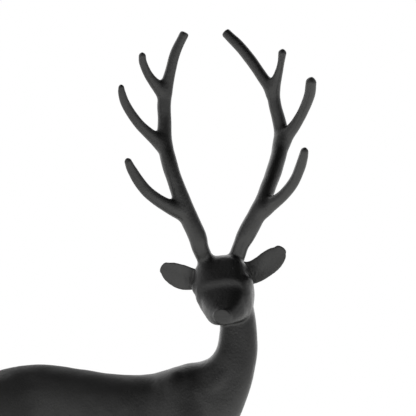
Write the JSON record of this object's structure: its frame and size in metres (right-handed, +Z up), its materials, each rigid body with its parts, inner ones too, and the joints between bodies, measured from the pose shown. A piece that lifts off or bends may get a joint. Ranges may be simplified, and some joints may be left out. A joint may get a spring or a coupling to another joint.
{
  "type": "cast iron stag statue",
  "caption": "Standing stag with branching antlers, its head turned to look out over its flank, on a low plain base with rounded ends.",
  "frame": {"origin": "the middle of the base's flat underside", "axes": "+Z up; +X from the rump to the chest; -Y is the side that the face looks out over"},
  "size_m": [0.2823, 0.0899, 0.4639],
  "materials": {
    "iron": "matt black over an as-cast skin"
  },
  "bodies": {
    "root": {"stag": "iron", "base": "iron"}
  },
  "joints": []
}
